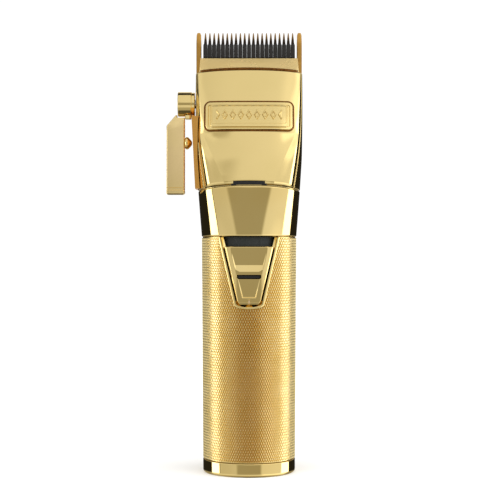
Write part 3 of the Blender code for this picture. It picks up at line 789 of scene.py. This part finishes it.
def rounded_outline(half_x, half_z, corner, count):
    """Points (x, z) evenly spaced round a rounded rectangle, anticlockwise."""
    angle, sign_x, sign_z = corner_turns(12)
    x = sign_x * (half_x - corner) + corner * np.cos(angle)
    z = sign_z * (half_z - corner) + corner * np.sin(angle)
    ring = np.stack([np.append(x, x[0]), np.append(z, z[0])], -1)
    travelled = np.concatenate([[0], np.cumsum(np.linalg.norm(np.diff(ring, axis=0), axis=1))])
    wanted = np.linspace(0, travelled[-1], count, endpoint=False)
    return np.stack([np.interp(wanted, travelled, ring[:, 0]), np.interp(wanted, travelled, ring[:, 1])], -1)


def badge_shade_bead():
    """The dark line round the badge, painted shade of the groove there: a low bead laid on the lid along the
    badge's outline, its section given by how far each point lies outside that outline and stands off the lid."""
    count = 300
    section = ((-0.15, -0.5), (-0.1, 0.02), (0.05, 0.1), (0.4, 0.1), (0.55, 0.02), (0.6, -0.5), (-0.15, -0.5))
    half_x, half_z = BADGE_HIGH[0], (BADGE_HIGH[2] - BADGE_LOW[2]) / 2
    middle = (BADGE_HIGH[2] + BADGE_LOW[2]) / 2 + BADGE_LIFT
    rows = []
    for grow, lift in section:
        outline = rounded_outline(half_x + grow, half_z + grow, BADGE_CORNER + grow, count)
        height = middle + outline[:, 1]
        rows.append(np.stack([outline[:, 0], -front_depth(outline[:, 0], height) - lift, height], -1))
    surface = (np.stack(rows)[::-1], grid_faces(len(section), count, wrap=True))
    # The bead's dark brown is painted shade of the groove round the badge.
    mesh_piece("badge_shade_bead", [surface], GROOVE_SHADE_BROWN, "housing")


def badge():
    """The badge: a rim, a sunk line, a raised plate, and a panel with a plain row of raised lozenges."""
    rows, columns = 120, 300
    pitch, row_half, panel_middle = 3.4, 13.7, 0.45
    tilt = math.radians(15)
    low, high = BADGE_LOW[2], BADGE_HIGH[2]
    up, across = grid(rows, columns)
    half_x, half_z = BADGE_HIGH[0], (high - low) / 2
    z = (2 * up - 1) * half_z
    into_corner = np.clip(np.abs(z) - (half_z - BADGE_CORNER), 0, None)
    reach = half_x - BADGE_CORNER + np.sqrt(np.clip(BADGE_CORNER**2 - into_corner**2, 0, None))
    x = (2 * across - 1) * reach
    rim = -rounded_rectangle(x, z, half_x, half_z, BADGE_CORNER)
    plate = -rounded_rectangle(x, z + 0.1, 16.4, 4.95, 1.2)
    panel = -rounded_rectangle(x, z - panel_middle, 15.75, 3.85, 0.8)
    local = (x + pitch / 2) % pitch - pitch / 2
    lozenge = 1 - (np.abs(local) / 1.35 + np.abs(z - panel_middle) / 2.3)
    emblem = step(lozenge, 0.0, 0.12) * (np.abs(x) < row_half)
    core = step(lozenge, 0.42, 0.5) * (np.abs(x) < row_half)
    lift = -0.2 + 0.75 * step(rim, 0.0, 0.3) - 0.4 * step(rim, 1.3, 1.45) + 0.55 * step(plate, 0.0, 0.2)
    lift = lift - 0.3 * step(panel, 0.0, 0.15) + 0.6 * emblem - 0.42 * core
    height = (low + high) / 2 + BADGE_LIFT + z
    y = -front_depth(x, height) - lift * math.cos(tilt) - 0.1
    surface = (np.stack([x, y, height + lift * math.sin(tilt)], -1), grid_faces(rows, columns))
    wall(mesh_piece("badge", [surface], PANEL, "housing", ["badge_plate"], sharp=50), 0.6)


def rear_housing():
    """The rear shell. Round it, one parameter runs from the right seam to the edge of the blade's bay, across
    the back, and on to the left seam. Above the bay's floor only the two cheeks are left."""
    low, bay_floor, cheek = COLLAR_TOP + 0.4, 150.0, LID_TOP
    bay_half = 5.3
    rows = np.concatenate([np.linspace(0, 1, 71), np.linspace(1, 2, 31)[1:]])
    columns = np.linspace(0, 3, 241)
    up, around = np.meshgrid(rows, columns, indexing="ij")
    right, back, left = (np.clip(around - start, 0, 1) for start in range(3))
    height = low + (cheek - low) * up / 2
    for _ in range(3):
        seam = seam_angle(height) - math.radians(0.4)
        _, _, rear, squareness = body_sizes(height)
        bay = np.arcsin((bay_half / rear) ** (squareness / 2))
        angle = -seam + (right + left) * (seam + bay) + back * (math.pi - 2 * bay)
        bottom = low + SEAM_RISE * frontness(angle)
        lower = bottom + (bay_floor - bottom) * np.minimum(up, 1)
        height = lower + (cheek - bay_floor) * np.maximum(up - 1, 0)
    quads = grid_faces(len(rows), len(columns))
    middle_up = up.reshape(-1)[quads].mean(1)
    middle_around = around.reshape(-1)[quads].mean(1)
    kept = (middle_up < 1) | (np.abs(middle_around - 1.5) > 0.5)
    surface = (body(height, angle), quads[kept])
    wall(mesh_piece("rear_shell", [surface], COLLAR_GOLD, "housing", ["rear_housing"], sharp=30), 1.4)


def nose():
    """The sloping strip from the lid's top up to the cutter: ruled between a bowed edge that follows the lid
    and a straight edge behind it, its ends turned back, and the dark line below it, painted shade of the
    groove there."""
    rows, columns = 24, 157
    turn_share, turned_y = 0.3, 2.4
    low_half, low_depth, low_squareness = 21.3, 8.1, 3.4
    high_half, high_y = 21.1, 1.9
    up, across = grid(rows, columns)
    run = (1 + turn_share) * (2 * across - 1)
    side = np.clip(run, -1, 1)
    share = (low_half * np.abs(side) / 22.6) ** low_squareness
    low_y = -low_depth * (1 - share) ** (1 / low_squareness)
    low = np.stack([low_half * side, low_y, NOSE_LOW[2] + LID_BOW * (1 - side**2)], -1)
    high = np.stack([high_half * side, np.full_like(side, high_y), np.full_like(side, NOSE_HIGH[2])], -1)
    points = low + (high - low) * up[..., None]
    points[..., 1] -= 0.3 * np.sin(math.pi * up)
    turned_back = (np.abs(run) - 1).clip(0) / turn_share
    points[..., 1] += (turned_y - points[..., 1]) * turned_back
    strip = (points, grid_faces(rows, columns))
    wall(mesh_piece("nose_strip", [strip], NOSE_GOLD, "housing", ["nose_bezel"]), 0.25)

    rows = 4
    up, side = up[:rows], side[:rows]
    groove_z = LID_TOP + LID_BOW * (1 - side**2) - 0.6 + up / up.max() * 1.6
    groove = np.stack([20.9 * side, low_y[:rows] - 0.35, groove_z], -1)
    # This dark strip is painted shade of the groove below the nose.
    wall(mesh_piece("nose_groove", [(groove, grid_faces(rows, columns))], GROOVE_SHADE_BROWN, "housing"), 0.6)


# ---- blades

def teeth(centres, half_widths, fronts, backs, heights, corner=0.12):
    """Teeth side by side: each is a stack of rounded rectangles that narrows and thins towards its tip."""
    stack = []
    count = len(heights)
    middles = (np.asarray(fronts) + np.asarray(backs)) / 2
    depths = (np.asarray(backs) - np.asarray(fronts)) / 2
    for centre in centres:
        centre_line = np.stack([np.full(count, centre), middles], -1)
        stack.append(tube_of_sections(bar_sections(centre_line, half_widths, depths, heights, corner)))
    return stack


def plate_stack(half_widths, fronts, backs, heights, corner=0.3):
    """One slab as a stack of rounded rectangles across the middle."""
    return teeth([0.0], half_widths, fronts, backs, heights, corner)


def fixed_blade():
    """The comb: a slab with a tongue below, ground thinner towards the teeth behind."""
    front, back = COMB_LOW[1], COMB_HIGH[1]
    low, high = COMB_LOW[2], COMB_HIGH[2]
    half = COMB_HIGH[0]
    root, end_half = 177.0, 1.1
    slab_backs = [back, back, back, back - 0.2]
    slab = plate_stack([half] * 4, [front] * 4, slab_backs, [low + 3.2, 160, 172, root + 0.3])
    tongue = plate_stack([8.5, 8.5], [front + 0.05] * 2, [back - 0.05] * 2, [low, low + 5])
    heights = [root - 0.8, root + 6, high - 4.6, high - 0.9, high]
    points = teeth(
        TOOTH_MIDDLES, [0.84, 0.82, 0.66, 0.30, 0.14], front + np.array([0.04, 0.04, 0.1, 0.35, 0.7]),
        back - np.array([0.1, 0.5, 1.0, 1.2, 1.4]), heights,
    )
    ends = teeth(
        (-half + end_half, half - end_half), [end_half, end_half, end_half, 0.95, 0.6],
        front + np.array([0.04, 0.04, 0.04, 0.15, 0.4]), back - np.array([0.1, 0.4, 0.8, 1.0, 1.2]),
        heights, 0.25,
    )
    mesh_piece("comb_blade", slab + tongue + points + ends, COMB_GOLD, "blade_carriage", ["fixed_blade"])


def cutter():
    """The cutter: a slab with short square teeth in front of the comb's."""
    front, back = CUTTER_LOW[1], CUTTER_HIGH[1]
    low, high = CUTTER_LOW[2], CUTTER_HIGH[2]
    half = CUTTER_HIGH[0]
    heel = half - 1.5
    root = 178.6
    slab_heights = [low, 172.4, 173.6, root + 0.3]
    slab = plate_stack([heel, heel, half, half], [front] * 4, [back] * 4, slab_heights, 0.2)
    points = teeth(
        TOOTH_MIDDLES, [0.92, 0.92, 0.9, 0.6], [front, front, front + 0.2, front + 0.7],
        [back, back, back, back - 0.1], [root, high - 3, high - 0.6, high], 0.1,
    )
    mesh_piece("moving_cutter", slab + points, BLACK, "cutter", ["cutter_blade"])


# ---- lever and screws

def lever_hub():
    """The hub, turned about the lever's axis, and the lug below it that carries the arm."""
    outer, inner, radius = HUB_LOW[0], HUB_HIGH[0], HUB_HIGH[1]
    bore, seat = 2.15, 3.2
    profile = rounded([
        (bore, inner - 0.1), (bore, outer + 2.2), (seat, outer + 2.1), (seat, outer + 0.3), (3.6, outer),
        (radius, outer), (radius, inner - 1.6), (radius - 0.3, inner - 1.4), (radius - 0.3, inner),
        (bore, inner), (bore, inner - 0.1),
    ], 0.45, 6)
    lug_low = HUB_LOW[2]
    lug = bar_sections(
        [(-26.25, 0)] * 3, [1.15, 1.35, 1.35], [1.9, 2.2, 2.2], [lug_low, lug_low + 0.5, lug_low + 3.5], 0.4,
    )
    surfaces = [turned(profile, (0, 0, LEVER_Z), "x"), tube_of_sections(lug)]
    mesh_piece("lever_boss", surfaces, POLISHED, "lever", ["lever_hub"])


def lever_arm():
    """The arm: a bar with a chamfered shoulder at its outer top and a grip ridge near its foot."""
    low, high = ARM_LOW[2], ARM_HIGH[2]
    shoulder = 148.9
    height = np.concatenate([
        low + np.array([0, 0.2, 0.5, 1.9, 2.1, 2.5, 2.9, 3.1, 3.3]), np.linspace(low + 4, shoulder, 12),
        np.linspace(149.4, 152.4, 6), np.linspace(152.45, high, 5),
    ])
    outer = ARM_LOW[0]
    left = np.interp(height, (low, low + 0.5, shoulder, high), (outer + 0.5, outer, outer, -31.75))
    right = np.interp(height, (low, low + 0.5), (ARM_HIGH[0] - 0.5, ARM_HIGH[0]))
    right = np.where(height > 152.42, HUB_LOW[0] - 0.3, right)
    ridge = 0.6 * ((height > low + 2) & (height < low + 3))
    front = np.interp(height, (low, low + 0.5, high), (-2.4, -3.0, -1.1)) + ridge
    back = np.interp(height, (low, low + 0.5, high), (2.4, 3.0, 3.0)) - ridge
    centres = np.stack([(left + right) / 2, (front + back) / 2], -1)
    arm = bar_sections(centres, (right - left) / 2, (back - front) / 2, height, 0.6, 5)
    mesh_piece("lever_bar", [tube_of_sections(arm)], ARM_GOLD, "lever", ["lever_arm"], sharp=30)


def detent_pin():
    """The pin beside the arm: a short round head and a blunt cone that points at the side plate."""
    low, high = DETENT_LOW[0], DETENT_HIGH[0]
    radius = 2.75
    profile = rounded([
        (0, low - 0.3), (2.2, low - 0.3), (radius, low + 0.3), (radius, low + 1.0), (1.2, high - 0.35),
        (0.6, high), (0, high),
    ], 0.3, 5)
    centre = (0, 0, (DETENT_LOW[2] + DETENT_HIGH[2]) / 2)
    mesh_piece("detent", [turned(profile, centre, "x", 64)], POLISHED, "lever", ["detent_pin"])


RECESS_ROWS = 5


def star(angle, row):
    """A six-lobed wave in the rows of a screw's recess, and 1 outside them."""
    return np.where(row < RECESS_ROWS, 1 + 0.16 * np.cos(6 * angle), 1.0)


def screw_head(name, body_name, node, radius, place, face, seat=1.1, axis="y", outward=1):
    """A domed black screw head with a six-lobed recess, its profile run from the recess floor to the seat, as
    radius and depth below the face. The first RECESS_ROWS points are the recess."""
    recess, depth = radius * 0.45, 0.9
    profile = np.array([
        (0.0, depth), (recess * 0.5, depth), (recess * 0.96, depth), (recess, depth * 0.8), (recess, 0.12),
        (recess * 1.25, 0), (radius * 0.75, 0), (radius * 0.93, 0.12),
        (radius, 0.35), (radius, seat), (0.0, seat),
    ])
    profile[:, 1] = face - outward * profile[:, 1]
    points, faces = turned(profile, place, axis, 72, star)
    if outward > 0:
        faces = faces[:, ::-1]
    mesh_piece(name, [(points, faces)], SCREW_BLACK, body_name, [node])


def screws():
    for word in ("left", "right"):
        for name, body_name, node, radius, seat in (
            ("comb_screw_", "blade_carriage", "blade_screw_", 2.6, 1.1),
            ("shell_screw_", "housing", "rear_screw_", 2.4, 3.0),
        ):
            low, high = node_box(node + word)
            place = ((low[0] + high[0]) / 2, 0, (low[2] + high[2]) / 2)
            screw_head(name + word, body_name, node + word, radius, place, high[1], seat)
    face = node_box("lever_screw")[0][0]
    screw_head("boss_screw", "lever", "lever_screw", 2.8, (0, 0, LEVER_Z), face, axis="x", outward=-1)


def dress_frame_nodes():
    """The nodes that keep their own shape take their finishes here."""
    finishes = (
        (TRACK, "charging_jack micro_switch"),
        (PLATE, "lever_index_plate"),
        (WRAP, "battery_cell"),
        (BOARD, "circuit_board"),
        (COPPER, "motor_armature"),
        (SCREW_BLACK, "motor_screw_left motor_screw_right"),
        (INNER, "battery_carrier slider_shoe motor_mount inner_frame drive_seat"),
        (STEEL, "motor_can motor_bearing motor_shaft eccentric_cam blade_bracket cutter_guide"),
        (STEEL, "tension_spring lever_cam_shaft"),
    )
    for material, names in finishes:
        for name in names.split():
            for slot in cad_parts[name].material_slots:
                slot.material = material


# ---- studio

def between(value, low, high, soft):
    """1 where a shader value lies from low to high and 0 elsewhere, with soft edges."""
    return value.step(low - soft, low + soft) * value.step(high - soft, high + soft, 1.0, 0.0)


def studio_world():
    """Light by direction, in degrees: turn runs from 0 in front, positive to the right, and rise from level
    up. Within 13 degrees of level is a ring of cards, and past it an even sky. The camera sees white."""
    world = bpy.data.worlds.new("studio")
    bpy.context.scene.world = world
    world.use_nodes = True
    tree = world.node_tree
    paint = Paint(tree)
    x, y, z = paint.split(paint.node("ShaderNodeTexCoord", output="Generated"))
    turn = x.math("ARCTAN2", -y) * math.degrees(1)
    rise = z.math("ARCSINE") * math.degrees(1)
    aside = turn.math("ABSOLUTE")

    ring = turn.step(-70, 85, 0.70, 0.98)
    front_wall = aside.step(26, 34, 1.0, 0.0) * rise.step(8, 11, 1.0, 0.0)
    side_lamps = between(turn, -106, -79, 1.5) + between(turn, 88, 117, 2)
    lamp_edge = between(turn, -79.5, -77, 0.6)
    rear_flags = between(turn, -172, -106, 1.5) + between(turn, 117, 172, 1.5)
    ring = ring.mixed(0.43, front_wall).mixed(3.4, side_lamps).mixed(0.12, lamp_edge).mixed(0.02, rear_flags)

    side_glow = between(turn, 34, 110, 5) * 0.4 + between(turn, -110, -34, 5) * 0.1
    sky = x.step(-0.8, 0.8, 0.84, 1.0) + between(turn, 28, 100, 12) * 0.12
    sky = sky + side_glow * between(rise, -40, 27, 5)
    rear_corners = between(aside, 112, 158, 8) * between(rise, -50, 50, 6)
    low_sky = rise.step(-45, -22, 1.0, 0.0)
    rear_ceiling = between(rise, 54, 94, 2) * y.step(-0.02, 0.03)
    underfoot = rise.step(-66, -60, 1.0, 0.0)
    sky = sky.mixed(0.35, rear_corners).mixed(0.5, low_sky).mixed(0.03, rear_ceiling).mixed(0.1, underfoot)

    light = sky.mixed(ring, between(rise, -13, 13, 3))
    light = light.mixed(0.62, between(turn, -44, -11, 7) * between(rise, 11, 20, 3))
    seen = paint.node("ShaderNodeLightPath", output="Is Camera Ray")
    background = tree.nodes["Background"]
    warm = paint.mix(light.step(0.3, 0.95), (1.0, 0.95, 0.78, 1), (1, 1, 1, 1))
    tree.links.new(paint.mix(seen, warm, (1, 1, 1, 1)).socket, background.inputs["Color"])
    tree.links.new(light.mixed(1.05, seen).socket, background.inputs["Strength"])


def floor():
    """A wide flat floor just below the foot, pale and matt, which the gold doesn't mirror."""
    width, drop = 8000, 0.02
    up, across = grid(2, 2)
    points = np.stack([(across - 0.5) * width, (up - 0.5) * width, np.full_like(up, -drop)], -1)
    mesh = bpy.data.meshes.new("floor")
    mesh.from_pydata(points.reshape(-1, 3) * MM, [], grid_faces(2, 2).tolist())
    piece = bpy.data.objects.new("floor", mesh)
    bpy.context.scene.collection.objects.link(piece)

    def pale(paint):
        cloud = paint.noise(3.0)
        return {"Base Color": paint.mix(cloud.step(0.3, 0.7), (0.93, 0.93, 0.93, 1), (0.9, 0.9, 0.9, 1))}

    mesh.materials.append(finish("pale floor", pale, Roughness=0.9, Specular_IOR_Level=0.0))
    piece.visible_glossy = False


def soft_sun(name, tilt, strength, spread):
    """A wide soft lamp, which lights the floor and the dark pieces but isn't mirrored in the gold. Its tilt
    and spread are in degrees."""
    lamp = bpy.data.lights.new(name, "SUN")
    lamp.energy = strength
    lamp.angle = math.radians(spread)
    made = bpy.data.objects.new(name, lamp)
    made.rotation_euler = [math.radians(angle) for angle in tilt]
    made.visible_glossy = False
    bpy.context.scene.collection.objects.link(made)


def studio():
    studio_world()
    floor()
    soft_sun("overhead", (25, 0, 10), 2.3, 120)
    lens = bpy.data.cameras.new("camera")
    lens.lens = 100
    lens.sensor_width = 36
    camera = bpy.data.objects.new("camera", lens)
    camera.location = (0.0004, -0.6, 0.0953)
    camera.rotation_euler = (math.pi / 2, 0, 0)
    bpy.context.scene.collection.objects.link(camera)
    bpy.context.scene.camera = camera
    bpy.context.scene.view_settings.view_transform = "Standard"


end_cap()
knurled_skin()
grip_tube()
switch_bezel()
slider()
slot_shade_bar()
switch_track()
indicator_light()
neck_collar()
front_lid()
badge_shade_bead()
badge()
rear_housing()
nose()
fixed_blade()
cutter()
lever_hub()
lever_arm()
detent_pin()
screws()
dress_frame_nodes()
studio()
